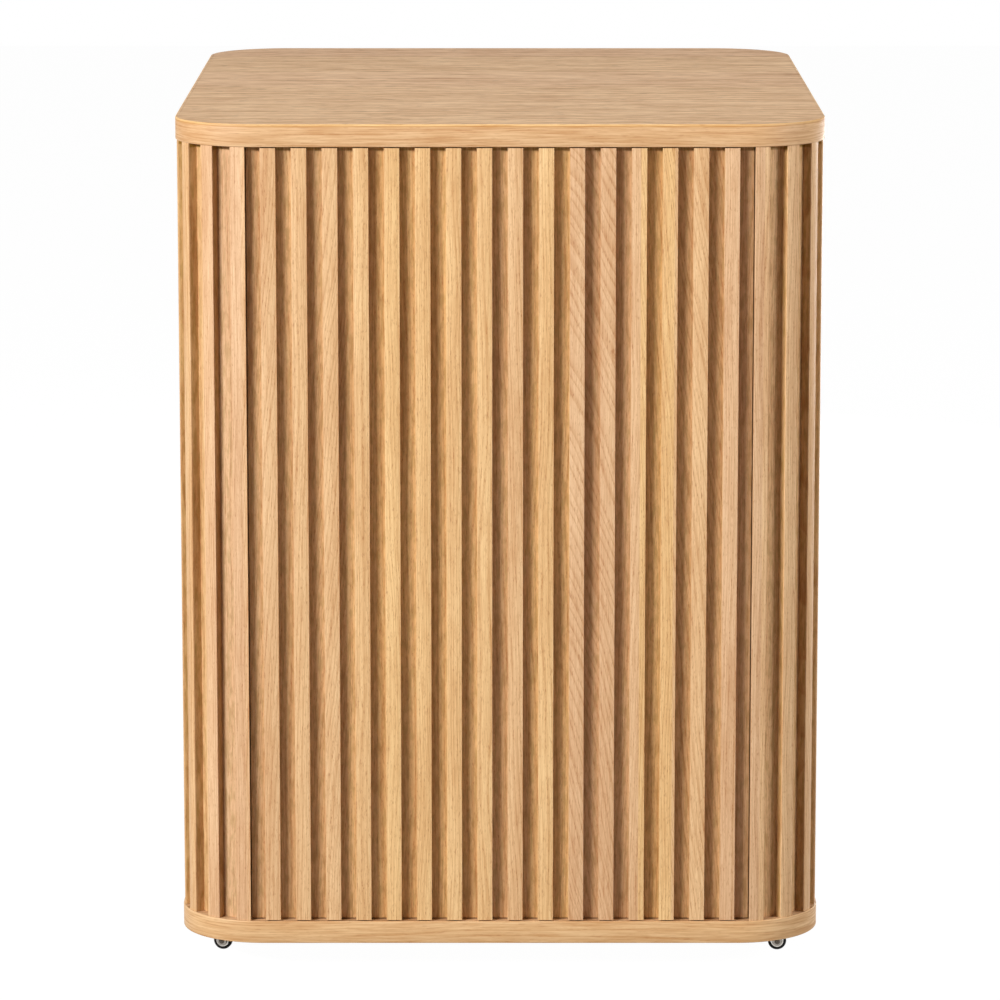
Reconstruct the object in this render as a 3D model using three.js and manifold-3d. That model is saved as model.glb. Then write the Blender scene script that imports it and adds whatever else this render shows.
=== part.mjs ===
// Rolling file cabinet in natural oak with a fluted, round-cornered body.
// Millimetres, +Z up, standing on z = 0, origin under the middle of the plan.
// The front faces -Y and the right side is +X.
// Everything between the two plates is fluted: flat slats with equal grooves between them.
// The flat middle of the front is one tall pull-out, which carries the file box on two runners.

import * as THREE from 'three';
import { mergeVertices } from 'three/addons/utils/BufferGeometryUtils.js';
import Module from 'manifold-3d';

const wasm = await Module();
wasm.setup();

// Whole cabinet
const cabinetWidth = 460;
const cabinetDepth = 580;
const cabinetHeight = 610;
const castorHeight = 21;
const jointGap = 0.1; // between pieces that are glued or screwed together
const cutOverrun = 2; // how far a cutting body runs past the surface it opens

// Top and base plates
const plateThickness = 16;
const plateCornerRadius = 60;
const edgeBandThickness = 2;
const plateOverhang = 1; // past the faces of the slats

// Fluting
const slatPitch = 21.66;
const slatWidth = 10.83;
const grooveDepth = 7;
const backingThickness = 13; // wood left behind the groove floor
const frontRowInset = 2.135; // from the start of a corner's curve to the nearest front slat
const postSideReach = 7.2; // straight leg of a corner post, past its curve
const arcSteps = 12; // straight pieces in a quarter circle of the plates and posts

// Pull-out front
const frontEndFloor = 10; // groove floor between the last slat and the edge of the front
const seamGap = 0.7; // between the front and the corner posts
const frontTopGap = 0.8;
const frontBottomGap = 0.8;

// Inner sides of the case
const linerSetback = 1.6; // from the post's edge out to the liner's face
const linerThickness = 15;

// Runners, hidden below the drawer: case rail, middle rail and drawer rail
const runnerSteel = 1.5;
const runnerPlay = 0.8; // between nested rails
const runnerLift = 2; // from the base plate up to the case rail
const runnerCoreWidth = 12;
const runnerCoreHeight = 12;
const runnerFlangeHeight = 30; // of the case rail's flange on the liner
const runnerSkirt = 7; // length of the middle rail's side walls below its top
const runnerSideGap = 1.5; // between the drawer rail and the drawer's side
const runnerFrontGap = 1; // behind the inner front
const runnerRearInset = 12; // from the rear of the drawer to the end of the rails
const runnerHoleCount = 3;

// Clips that couple the drawer to its rails
const clipLength = 30;
const clipWidth = 22;
const clipHeight = 9;
const clipNose = 3; // chamfer along the clip's lower edge

// Drawer box
const drawerSideClearance = 4.9; // to the edge of the posts
const drawerWall = 12;
const drawerSideHeight = 380;
const drawerSideDrop = 10; // sides below the underside of the bottom
const drawerBottomThickness = 9;
const housingDepth = 5; // groove in the sides for the bottom
const housingPlay = 0.3;

// Rails for the hanging files
const fileClearHeight = 262; // from the drawer's bottom to the top of the rails
const fileRailHeight = 14;
const fileRailReach = 11; // from the drawer's side to the inner face of the lip
const fileRailWall = 2;
const railEndGap = 1;

// Sliding tray and its runners
const tabHeight = 30; // room for folder tabs above the file rails
const trayRunnerWidth = 12;
const trayRunnerHeight = 10;
const trayRunnerWall = 1.5;
const traySidePlay = 0.6;
const trayLift = 0.3; // running gap on the runners
const trayDepth = 220;
const trayHeight = 58;
const trayWall = 8;
const trayFloor = 5;
const trayEndGap = 2;
const trayDividerWall = 5;
const trayDividerHeight = 42;
const trayPenSlot = 62; // width of the front compartment
const trayCrossShare = 0.34; // place of the cross dividers, of the tray's inner half width

// Push latch behind the drawer
const latchBarrelRadius = 6.5;
const latchBarrelLength = 52;
const latchFlangeRadius = 16;
const latchFlangeThickness = 3;
const latchBoreDepth = 30;
const plungerRadius = 3.5;
const plungerPlay = 0.3;
const plungerLength = 25; // of the shaft behind the tip
const plungerTipRadius = 5;
const plungerTipLength = 4;
const strikeRadius = 12;
const strikeThickness = 1.5;
const plungerReach = 9; // of the tip out of the barrel, with the drawer shut
const latchContactGap = 0.3;

// Castors
const castorInsetX = 34; // pivot, from the side of the plate
const castorInsetY = 62; // pivot, from the front or rear of the plate
const castorPlateSize = 28;
const castorPlateThickness = 1.5;
const castorPlateCorner = 3;
const raceRadius = 8;
const raceHeight = 2.7;
const castorPlay = 0.3;
const crownRadius = 7.5;
const crownThickness = 1.2;
const kingpinRadius = 2;
const kingpinHeadRadius = 3.2;
const kingpinHeadHeight = 1;
const castorTrail = 6;
const legThickness = 1;
const legHalfWidth = 3.4;
const wheelRadius = 6.75;
const tyreWidth = 6;
const tyreShoulder = 1.1;
const hubRadius = 4.6;
const hubRimWidth = 5.2;
const hubRimDepth = 1; // radial depth of the rim
const hubWebWidth = 3;
const hubBossRadius = 2.6;
const axleRadius = 1.2;
const axleHeadRadius = 2;
const axleHeadThickness = 0.7;
const wheelSides = 24;
const smallCornerSteps = 3; // of the castor plate and the tray
const turnedSides = 16; // of the hub, the race, the pin and the latch
// Direction from pivot to wheel, seen from above, in degrees from +X
const frontLeftTrailDegrees = 167;
const frontRightTrailDegrees = 0;
const rearLeftTrailDegrees = 100;
const rearRightTrailDegrees = 80;

// Screw holes
const castorHoleRadius = 1.6;
const castorHoleDepth = 11; // into the base
const castorHoleInset = 4; // from the edge of the castor plate
const woodHoleRadius = 2.3;
const woodHoleDepth = 7; // into the piece that is held
const woodHoleRowInset = 45; // from the ends of what the screws fix
const runnerHoleEdge = 6; // from the top of the case rail's flange
const frontHoleColumns = 2;
const frontHoleRows = 3;
const holeSides = 8;

// Levels, from the floor up
const baseTop = castorHeight + plateThickness;
const topUnderside = cabinetHeight - plateThickness;
const bodyBottom = baseTop + jointGap;
const bodyTop = topUnderside - jointGap;

// Plan of the fluted body
const cornerX = cabinetWidth / 2 - plateCornerRadius;
const cornerY = cabinetDepth / 2 - plateCornerRadius;
const faceRadius = plateCornerRadius - plateOverhang;
const floorRadius = faceRadius - grooveDepth;
const insideRadius = floorRadius - backingThickness;
const boardBackY = cornerY + insideRadius;
const slatRowHalf = cornerX - frontRowInset;
const frontSlatSpan = 2 * slatRowHalf - slatWidth; // between the middles of the end slats
const frontSlatCount = 1 + Math.max(1, Math.round(frontSlatSpan / slatPitch));
const frontSlatPitch = frontSlatSpan / (frontSlatCount - 1);
const frontHalfWidth = slatRowHalf + frontEndFloor;
const postEdgeX = frontHalfWidth + seamGap;
const linerInnerX = postEdgeX + linerSetback;
const linerOuterX = linerInnerX + linerThickness;

// Drawer, in plan and height
const drawerHalfWidth = postEdgeX - drawerSideClearance;
const drawerInnerHalf = drawerHalfWidth - drawerWall;
const innerFrontY = -boardBackY + drawerWall; // rear face of the inner front
const barrelMouthY = boardBackY - jointGap - latchBarrelLength;
const plungerTipY = barrelMouthY - plungerReach;
const strikeY = plungerTipY - latchContactGap - strikeThickness;
const drawerRearY = strikeY - jointGap;
const drawerBackY = drawerRearY - drawerWall; // front face of the drawer's back
const drawerRailHalf = runnerCoreWidth / 2 + 2 * (runnerPlay + runnerSteel);
const runnerCoreX = drawerInnerHalf - runnerSideGap - drawerRailHalf;
const runnerWebZ = baseTop + runnerLift;
const runnerCoreTop = runnerWebZ + runnerSteel + runnerCoreHeight;
const middleRailTop = runnerCoreTop + runnerPlay + runnerSteel;
const drawerBottomZ = middleRailTop + runnerPlay + runnerSteel + jointGap;
const drawerFloorZ = drawerBottomZ + drawerBottomThickness;
const drawerSideZ = drawerBottomZ - drawerSideDrop;
const drawerSideTop = drawerSideZ + drawerSideHeight;
const runnerStartY = innerFrontY + runnerFrontGap;
const runnerEndY = drawerRearY - runnerRearInset;
const runnerLength = runnerEndY - runnerStartY;
const fileRailTop = drawerFloorZ + fileClearHeight;
const trayRunnerZ = fileRailTop + tabHeight;
const trayZ = trayRunnerZ + trayRunnerWall + trayLift;
const trayHalfWidth = drawerInnerHalf - trayRunnerWall - traySidePlay;
const trayFrontY = innerFrontY + trayEndGap;
const latchZ = drawerSideZ + drawerSideHeight / 2;

const root = new THREE.Group();

function finish(color, roughness, metalness) {
  return () => new THREE.MeshStandardMaterial({ color, roughness, metalness });
}
const veneer = finish(0xd3b28e, 0.55, 0);
const oak = finish(0xe3b985, 0.55, 0);
const edgeOak = finish(0xe6b989, 0.5, 0);
const birch = finish(0xd9bd94, 0.6, 0);
const zinc = finish(0xb4b6b8, 0.4, 1);
const aluminium = finish(0xc9cbcc, 0.35, 1);
const castorSteel = finish(0x7d7872, 0.4, 1);
const castorHub = finish(0xbdb5aa, 0.25, 1);
const rubber = finish(0x171412, 0.7, 0);
const latchPlastic = finish(0x6f7276, 0.5, 0);

function add(name, geometry, material, parent = root) {
  const mesh = new THREE.Mesh(geometry, material());
  mesh.name = name;
  parent.add(mesh);
  return mesh;
}

// Solids for joining and cutting
function toSolid(geometry) {
  const bare = geometry.clone();
  bare.deleteAttribute('normal');
  bare.deleteAttribute('uv');
  const merged = mergeVertices(bare);
  return new wasm.Manifold(new wasm.Mesh({
    numProp: 3,
    vertProperties: new Float32Array(merged.attributes.position.array),
    triVerts: new Uint32Array(merged.index.array),
  }));
}

function toGeometry(solid) {
  const mesh = solid.getMesh();
  const geometry = new THREE.BufferGeometry();
  geometry.setAttribute('position', new THREE.BufferAttribute(new Float32Array(mesh.vertProperties), 3));
  geometry.setIndex(new THREE.BufferAttribute(new Uint32Array(mesh.triVerts), 1));
  geometry.computeVertexNormals();
  return geometry;
}

function join(geometries) {
  return toGeometry(geometries.map(toSolid).reduce((whole, piece) => whole.add(piece)));
}

function cut(geometry, tools) {
  return toGeometry(tools.map(toSolid).reduce((whole, tool) => whole.subtract(tool), toSolid(geometry)));
}

// Shapes
function polygon(points) {
  return new THREE.Shape(points.map(([x, y]) => new THREE.Vector2(x, y)));
}

function upright(shape, bottom, top, curveSegments = arcSteps) {
  const depth = top - bottom;
  const geometry = new THREE.ExtrudeGeometry(shape, { depth, bevelEnabled: false, curveSegments });
  return geometry.translate(0, 0, bottom);
}

// An outline in x and z, run from startY to endY
function lengthwise(shape, startY, endY) {
  const depth = endY - startY;
  const curveSegments = turnedSides / 2;
  const geometry = new THREE.ExtrudeGeometry(shape, { depth, bevelEnabled: false, curveSegments });
  return geometry.rotateX(Math.PI / 2).translate(0, endY, 0);
}

function block(startX, endX, startY, endY, startZ, endZ) {
  const geometry = new THREE.BoxGeometry(endX - startX, endY - startY, endZ - startZ);
  return geometry.translate((startX + endX) / 2, (startY + endY) / 2, (startZ + endZ) / 2);
}

function roundedRectangle(halfX, halfY, radius) {
  const shape = new THREE.Shape();
  shape.absarc(halfX - radius, halfY - radius, radius, 0, Math.PI / 2);
  shape.absarc(-halfX + radius, halfY - radius, radius, Math.PI / 2, Math.PI);
  shape.absarc(-halfX + radius, -halfY + radius, radius, Math.PI, Math.PI * 1.5);
  shape.absarc(halfX - radius, -halfY + radius, radius, Math.PI * 1.5, Math.PI * 2);
  shape.closePath();
  return shape;
}

// A turned piece on the y axis, from [radius, distance along y] points
function turned(profile, sides, startAngle = 0) {
  const points = profile.map(([radius, along]) => new THREE.Vector2(radius, along));
  return new THREE.LatheGeometry(points, sides, startAngle);
}

function cylinder(radius, length, sides = holeSides) {
  return new THREE.CylinderGeometry(radius, radius, length, sides);
}

// Evenly spaced places, centred on zero
function row(count, spacing) {
  return Array.from({ length: count }, (_, i) => (i - (count - 1) / 2) * spacing);
}

function spread(count, halfLength) {
  return count > 1 ? row(count, (2 * halfLength) / (count - 1)) : [0];
}

// A fluted board seen from above: along its length, and outwards from its back
function flutedOutline(halfLength, slatCentres, place) {
  const face = backingThickness + grooveDepth;
  const points = [[-halfLength, 0], [-halfLength, backingThickness]];
  for (const centre of slatCentres) {
    const start = centre - slatWidth / 2;
    const end = centre + slatWidth / 2;
    points.push([start, backingThickness], [start, face], [end, face], [end, backingThickness]);
  }
  points.push([halfLength, backingThickness], [halfLength, 0]);
  return polygon(points.map(([along, out]) => place(along, out)));
}

// A corner post seen from above, round the centre of its curve: sideways, and towards front or rear.
// Its grooves have parallel sides, so its slats are narrower at the foot than at the face.
function postOutline(signX, signY) {
  const edge = postEdgeX - cornerX;
  const reachToCorner = Math.hypot(faceRadius, slatWidth / 2);
  const faceAngle = Math.atan(slatWidth / 2 / faceRadius);
  const firstAngle = Math.asin(edge / reachToCorner) + faceAngle;
  const angleStep = slatPitch / floorRadius;
  const slatCount = 1 + Math.floor((Math.PI / 2 - firstAngle) / angleStep);
  const grooveHalf = reachToCorner * Math.sin(angleStep / 2 - faceAngle);
  const footAngle = angleStep / 2 - Math.asin(grooveHalf / floorRadius);
  const floorSteps = 3;
  const onArc = (radius, angle) => [radius * Math.sin(angle), radius * Math.cos(angle)];
  const points = [[edge, insideRadius]];
  for (let i = 0; i < slatCount; i += 1) {
    const angle = firstAngle + i * angleStep;
    const [outX, outY] = onArc(faceRadius, angle);
    const halfX = (slatWidth / 2) * Math.cos(angle);
    const halfY = (slatWidth / 2) * Math.sin(angle);
    if (i > 0) {
      const floorStart = angle - angleStep + footAngle;
      const floorSpan = angleStep - 2 * footAngle;
      for (let j = 1; j <= floorSteps; j += 1) {
        points.push(onArc(floorRadius, floorStart + (floorSpan * j) / floorSteps));
      }
    }
    points.push([outX - halfX, outY + halfY], [outX + halfX, outY - halfY]);
    points.push(onArc(floorRadius, angle + footAngle));
  }
  points.push([floorRadius, -postSideReach], [insideRadius, -postSideReach]);
  const rebate = linerOuterX + jointGap - cornerX;
  const rebateAngle = Math.asin(rebate / insideRadius);
  for (let j = 0; j <= arcSteps; j += 1) {
    points.push(onArc(insideRadius, Math.PI / 2 + ((rebateAngle - Math.PI / 2) * j) / arcSteps));
  }
  points.push([rebate, insideRadius]);
  return polygon(points.map(([x, y]) => [signX * (cornerX + x), signY * (cornerY + y)]));
}

const sides = [['left', -1], ['right', 1]];
const ends = [['front', -1], ['rear', 1]];

function buildPlate(name, bottom, holes = []) {
  const coreX = cabinetWidth / 2 - edgeBandThickness;
  const coreY = cabinetDepth / 2 - edgeBandThickness;
  const coreRadius = plateCornerRadius - edgeBandThickness;
  const core = roundedRectangle(coreX - jointGap, coreY - jointGap, coreRadius - jointGap);
  const band = roundedRectangle(cabinetWidth / 2, cabinetDepth / 2, plateCornerRadius);
  band.holes.push(roundedRectangle(coreX, coreY, coreRadius));
  const panel = upright(core, bottom, bottom + plateThickness);
  add(`${name}_panel`, holes.length ? cut(panel, holes) : panel, veneer);
  add(`${name}_edge_band`, upright(band, bottom, bottom + plateThickness), edgeOak);
}

function buildCase() {
  const holes = castorPivots().flatMap(([x, y]) => castorHolePlaces().map(([dx, dy]) => {
    const depth = castorHoleDepth + cutOverrun;
    return cylinder(castorHoleRadius, depth)
      .rotateX(Math.PI / 2)
      .translate(x + dx, y + dy, castorHeight - cutOverrun + depth / 2);
  }));
  buildPlate('base', castorHeight, holes);
  buildPlate('top', topUnderside);

  for (const [endName, signY] of ends) {
    for (const [sideName, signX] of sides) {
      const post = upright(postOutline(signX, signY), bodyBottom, bodyTop);
      add(`corner_post_${endName}_${sideName}`, post, oak);
    }
  }

  const sideHalf = cornerY - postSideReach - jointGap;
  const sideSpan = 2 * (cornerY - postSideReach) - slatPitch;
  const sideGaps = Math.max(1, Math.round(sideSpan / slatPitch));
  const sideCentres = row(sideGaps + 1, sideSpan / sideGaps);
  for (const [sideName, signX] of sides) {
    const place = (along, out) => [signX * (cornerX + insideRadius + out), along];
    const outline = flutedOutline(sideHalf, sideCentres, place);
    add(`side_panel_${sideName}`, upright(outline, bodyBottom, bodyTop), oak);
  }

  const backPlace = (along, out) => [along, boardBackY + out];
  const backOutline = flutedOutline(postEdgeX - jointGap, row(frontSlatCount, frontSlatPitch), backPlace);
  add('back_panel', upright(backOutline, bodyBottom, bodyTop), oak);

  const linerHalf = boardBackY - jointGap;
  for (const [sideName, signX] of sides) {
    const liner = upright(polygon([
      [signX * linerInnerX, -linerHalf], [signX * linerOuterX, -linerHalf],
      [signX * linerOuterX, linerHalf], [signX * linerInnerX, linerHalf],
    ]), bodyBottom, bodyTop);
    add(`inner_side_${sideName}`, cut(liner, runnerHolePlaces().map(([y, z]) => {
      const depth = woodHoleDepth + cutOverrun;
      return cylinder(woodHoleRadius, depth)
        .rotateZ(Math.PI / 2)
        .translate(signX * (linerInnerX - cutOverrun + depth / 2), y, z);
    })), birch);
  }
}

// Runners

function runnerHolePlaces() {
  const half = runnerLength / 2 - woodHoleRowInset;
  const z = runnerWebZ + runnerFlangeHeight - runnerHoleEdge;
  return spread(runnerHoleCount, half).map((along) => [(runnerStartY + runnerEndY) / 2 + along, z]);
}

function channel(centreX, innerHalf, topZ, bottomZ, startY, endY) {
  const outerHalf = innerHalf + runnerSteel;
  const ceiling = topZ - runnerSteel;
  return lengthwise(polygon([
    [centreX - outerHalf, bottomZ], [centreX - outerHalf, topZ], [centreX + outerHalf, topZ],
    [centreX + outerHalf, bottomZ], [centreX + innerHalf, bottomZ], [centreX + innerHalf, ceiling],
    [centreX - innerHalf, ceiling], [centreX - innerHalf, bottomZ],
  ]), startY, endY);
}

function buildRunners() {
  const coreHalf = runnerCoreWidth / 2;
  const middleHalf = coreHalf + runnerPlay;
  const drawerHalf = middleHalf + runnerSteel + runnerPlay;
  const middleBottom = middleRailTop - runnerSteel - runnerSkirt;
  const drawerTop = drawerBottomZ - jointGap;
  for (const [sideName, signX] of sides) {
    const coreX = signX * runnerCoreX;
    const innerCore = coreX - signX * coreHalf;
    const outerCore = coreX + signX * coreHalf;
    const wall = signX * (linerInnerX - jointGap);
    const flangeTop = runnerWebZ + runnerFlangeHeight;
    const caseRail = lengthwise(polygon([
      [wall, runnerWebZ], [wall, flangeTop], [wall - signX * runnerSteel, flangeTop],
      [wall - signX * runnerSteel, runnerWebZ + runnerSteel], [outerCore, runnerWebZ + runnerSteel],
      [outerCore, runnerCoreTop], [outerCore - signX * runnerSteel, runnerCoreTop],
      [outerCore - signX * runnerSteel, runnerWebZ + runnerSteel],
      [innerCore + signX * runnerSteel, runnerWebZ + runnerSteel],
      [innerCore + signX * runnerSteel, runnerCoreTop], [innerCore, runnerCoreTop], [innerCore, runnerWebZ],
    ]), runnerStartY, runnerEndY);
    add(`runner_case_rail_${sideName}`, cut(caseRail, runnerHolePlaces().map(([y, z]) => {
      const depth = runnerSteel + 2 * cutOverrun;
      return cylinder(woodHoleRadius, depth)
        .rotateZ(Math.PI / 2)
        .translate(wall - (signX * runnerSteel) / 2, y, z);
    })), zinc);
    const middle = channel(coreX, middleHalf, middleRailTop, middleBottom, runnerStartY, runnerEndY);
    add(`runner_middle_rail_${sideName}`, middle, zinc);
    const drawerRail = channel(coreX, drawerHalf, drawerTop, middleBottom, runnerStartY, runnerEndY);
    add(`runner_drawer_rail_${sideName}`, drawerRail, zinc);
    const clipOuter = runnerCoreX - drawerRailHalf - jointGap;
    const clipInner = clipOuter - clipWidth;
    const clip = lengthwise(polygon([
      [clipOuter, drawerTop - clipHeight], [clipOuter, drawerTop], [clipInner, drawerTop],
      [clipInner, drawerTop - clipHeight + clipNose], [clipInner + clipNose, drawerTop - clipHeight],
    ].map(([x, z]) => [signX * x, z])), innerFrontY + jointGap, innerFrontY + clipLength);
    add(`runner_clip_${sideName}`, clip, latchPlastic);
  }
}

// Pull-out

function frontHolePlaces() {
  const columns = spread(frontHoleColumns, drawerInnerHalf - woodHoleRowInset);
  const half = drawerSideHeight / 2 - woodHoleRowInset;
  const rows = spread(frontHoleRows, half).map((up) => drawerSideZ + drawerSideHeight / 2 + up);
  return columns.flatMap((x) => rows.map((z) => [x, z]));
}

function buildDrawer() {
  const frontPlace = (along, out) => [along, -boardBackY - out];
  const frontOutline = flutedOutline(frontHalfWidth, row(frontSlatCount, frontSlatPitch), frontPlace);
  const panel = upright(frontOutline, baseTop + frontBottomGap, topUnderside - frontTopGap);
  add('front_panel', cut(panel, frontHolePlaces().map(([x, z]) => {
    const depth = woodHoleDepth + cutOverrun;
    return cylinder(woodHoleRadius, depth).translate(x, -boardBackY + cutOverrun - depth / 2, z);
  })), oak);

  const innerFront = block(
    -drawerHalfWidth, drawerHalfWidth, -boardBackY + jointGap, innerFrontY, drawerSideZ, drawerSideTop,
  );
  add('drawer_inner_front', cut(innerFront, frontHolePlaces().map(([x, z]) => {
    const depth = drawerWall + 2 * cutOverrun;
    return cylinder(woodHoleRadius, depth).translate(x, innerFrontY - drawerWall / 2, z);
  })), birch);

  for (const [sideName, signX] of sides) {
    const inner = signX * drawerInnerHalf;
    const outer = signX * drawerHalfWidth;
    const housing = signX * (drawerInnerHalf + housingDepth);
    const sideBoard = lengthwise(polygon([
      [outer, drawerSideZ], [outer, drawerSideTop], [inner, drawerSideTop],
      [inner, drawerFloorZ + housingPlay], [housing, drawerFloorZ + housingPlay],
      [housing, drawerBottomZ - housingPlay], [inner, drawerBottomZ - housingPlay], [inner, drawerSideZ],
    ]), innerFrontY + jointGap, drawerRearY);
    add(`drawer_side_${sideName}`, sideBoard, birch);
  }
  const bottomHalf = drawerInnerHalf + housingDepth - housingPlay;
  add('drawer_bottom', block(
    -bottomHalf, bottomHalf, innerFrontY + jointGap, drawerRearY, drawerBottomZ, drawerFloorZ,
  ), birch);
  const backHalf = drawerInnerHalf - jointGap;
  add('drawer_back', block(
    -backHalf, backHalf, drawerBackY, drawerRearY, drawerFloorZ + jointGap, drawerSideTop,
  ), birch);

  for (const [sideName, signX] of sides) {
    const wall = drawerInnerHalf - jointGap;
    const lip = drawerInnerHalf - fileRailReach;
    const railBottom = fileRailTop - fileRailHeight;
    const hookRail = lengthwise(polygon([
      [wall, railBottom], [wall, fileRailTop], [wall - fileRailWall, fileRailTop],
      [wall - fileRailWall, railBottom + fileRailWall], [lip + fileRailWall, railBottom + fileRailWall],
      [lip + fileRailWall, fileRailTop], [lip, fileRailTop], [lip, railBottom],
    ].map(([x, z]) => [signX * x, z])), innerFrontY + railEndGap, drawerBackY - railEndGap);
    add(`file_rail_${sideName}`, hookRail, aluminium);
    const ledge = drawerInnerHalf - trayRunnerWidth;
    const trayRunner = lengthwise(polygon([
      [wall, trayRunnerZ], [wall, trayRunnerZ + trayRunnerHeight],
      [wall - trayRunnerWall, trayRunnerZ + trayRunnerHeight],
      [wall - trayRunnerWall, trayRunnerZ + trayRunnerWall],
      [ledge, trayRunnerZ + trayRunnerWall], [ledge, trayRunnerZ],
    ].map(([x, z]) => [signX * x, z])), innerFrontY + railEndGap, drawerBackY - railEndGap);
    add(`tray_runner_${sideName}`, trayRunner, aluminium);
  }
}

function buildTray() {
  const halfWidth = trayHalfWidth - jointGap;
  const rearY = trayFrontY + trayDepth;
  const middleY = (trayFrontY + rearY) / 2;
  const floorTop = trayZ + trayFloor;
  const frame = roundedRectangle(halfWidth, trayDepth / 2, trayWall / 2);
  frame.holes.push(polygon([
    [-halfWidth + trayWall, -trayDepth / 2 + trayWall], [halfWidth - trayWall, -trayDepth / 2 + trayWall],
    [halfWidth - trayWall, trayDepth / 2 - trayWall], [-halfWidth + trayWall, trayDepth / 2 - trayWall],
  ]));
  const frameMesh = add('tray_frame', upright(frame, trayZ, trayZ + trayHeight, smallCornerSteps), birch);
  frameMesh.position.y = middleY;
  const innerX = halfWidth - trayWall - jointGap;
  const innerFront = trayFrontY + trayWall + jointGap;
  const innerRear = rearY - trayWall - jointGap;
  add('tray_bottom', block(-innerX, innerX, innerFront, innerRear, trayZ, floorTop), birch);
  const longY = innerFront + trayPenSlot;
  const dividerZ = floorTop + jointGap;
  const dividerTop = dividerZ + trayDividerHeight;
  const longRearY = longY + trayDividerWall;
  add('tray_divider_long', block(-innerX, innerX, longY, longRearY, dividerZ, dividerTop), birch);
  const crossStart = longRearY + jointGap;
  const crossHalf = trayDividerWall / 2;
  for (const [sideName, signX] of sides) {
    const crossX = signX * innerX * trayCrossShare;
    const cross = block(crossX - crossHalf, crossX + crossHalf, crossStart, innerRear, dividerZ, dividerTop);
    add(`tray_divider_${sideName}`, cross, birch);
  }
}

function buildLatch() {
  const mountY = boardBackY - jointGap;
  const boreRadius = plungerRadius + plungerPlay;
  const housing = add('latch_housing', turned([
    [0, 0], [latchFlangeRadius, 0], [latchFlangeRadius, -latchFlangeThickness],
    [latchBarrelRadius, -latchFlangeThickness], [latchBarrelRadius, -latchBarrelLength],
    [boreRadius, -latchBarrelLength], [boreRadius, -latchBarrelLength + latchBoreDepth],
    [0, -latchBarrelLength + latchBoreDepth],
  ].reverse(), turnedSides), latchPlastic);
  housing.position.set(0, mountY, latchZ);

  const plunger = add('latch_plunger', turned([
    [0, 0], [plungerTipRadius, 0], [plungerTipRadius, plungerTipLength],
    [plungerRadius, plungerTipLength], [plungerRadius, plungerTipLength + plungerLength],
    [0, plungerTipLength + plungerLength],
  ], turnedSides), rubber);
  plunger.position.set(0, plungerTipY, latchZ);

  const strike = add('latch_strike', turned([
    [0, 0], [strikeRadius, 0], [strikeRadius, strikeThickness], [0, strikeThickness],
  ], turnedSides), zinc);
  strike.position.set(0, strikeY, latchZ);
}

// Castors

function castorPivots() {
  const x = cabinetWidth / 2 - castorInsetX;
  const y = cabinetDepth / 2 - castorInsetY;
  return [
    [-x, -y, 'front_left', frontLeftTrailDegrees], [x, -y, 'front_right', frontRightTrailDegrees],
    [-x, y, 'rear_left', rearLeftTrailDegrees], [x, y, 'rear_right', rearRightTrailDegrees],
  ];
}

function castorHolePlaces() {
  const reach = castorPlateSize / 2 - castorHoleInset;
  return [[-reach, -reach], [reach, -reach], [reach, reach], [-reach, reach]];
}

function castorPlate() {
  const half = castorPlateSize / 2;
  const topZ = castorHeight - jointGap;
  const plateZ = topZ - castorPlateThickness;
  const raceZ = plateZ - raceHeight;
  const pinZ = raceZ - castorPlay - crownThickness - castorPlay;
  const standing = (radius, bottom, top) => cylinder(radius, top - bottom, turnedSides)
    .rotateX(Math.PI / 2)
    .translate(0, 0, (bottom + top) / 2);
  const whole = join([
    upright(roundedRectangle(half, half, castorPlateCorner), plateZ, topZ, smallCornerSteps),
    standing(raceRadius, raceZ, topZ),
    standing(kingpinRadius, pinZ - kingpinHeadHeight, topZ),
    standing(kingpinHeadRadius, pinZ - kingpinHeadHeight, pinZ),
  ]);
  return cut(whole, castorHolePlaces().map(([x, y]) => (
    cylinder(castorHoleRadius, castorPlateThickness + 2 * cutOverrun)
      .rotateX(Math.PI / 2)
      .translate(x, y, topZ - castorPlateThickness / 2)
  )));
}

function castorFork(wheelZ) {
  const crownTop = castorHeight - jointGap - castorPlateThickness - raceHeight - castorPlay;
  const crownBottom = crownTop - crownThickness;
  const legInner = tyreWidth / 2 + castorPlay + castorPlay;
  const legOuter = legInner + legThickness;
  const crown = new THREE.Shape();
  crown.absarc(0, 0, crownRadius, 0, Math.PI * 2);
  const arm = polygon([
    [0, -legOuter], [castorTrail + legHalfWidth, -legOuter],
    [castorTrail + legHalfWidth, legOuter], [0, legOuter],
  ]);
  const body = join([upright(crown, crownBottom, crownTop), upright(arm, crownBottom, crownTop)]);
  const leg = new THREE.Shape();
  leg.moveTo(castorTrail + legHalfWidth, crownTop);
  leg.lineTo(castorTrail - legHalfWidth, crownTop);
  leg.absarc(castorTrail, wheelZ, legHalfWidth, Math.PI, Math.PI * 2);
  leg.closePath();
  const legs = [-legOuter, legInner].map((startY) => lengthwise(leg, startY, startY + legThickness));
  const kingpinHole = cylinder(kingpinRadius + castorPlay, crownThickness + 2 * cutOverrun, turnedSides)
    .rotateX(Math.PI / 2)
    .translate(0, 0, (crownBottom + crownTop) / 2);
  const axleHole = cylinder(axleRadius + castorPlay, 2 * (legOuter + cutOverrun))
    .translate(castorTrail, 0, wheelZ);
  return cut(join([body, ...legs]), [kingpinHole, axleHole]);
}

function castorAxle() {
  const headStart = tyreWidth / 2 + 2 * castorPlay + legThickness + jointGap;
  const headEnd = headStart + axleHeadThickness;
  return turned([
    [0, -headEnd], [axleHeadRadius, -headEnd], [axleHeadRadius, -headStart], [axleRadius, -headStart],
    [axleRadius, headStart], [axleHeadRadius, headStart], [axleHeadRadius, headEnd], [0, headEnd],
  ], holeSides);
}

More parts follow.
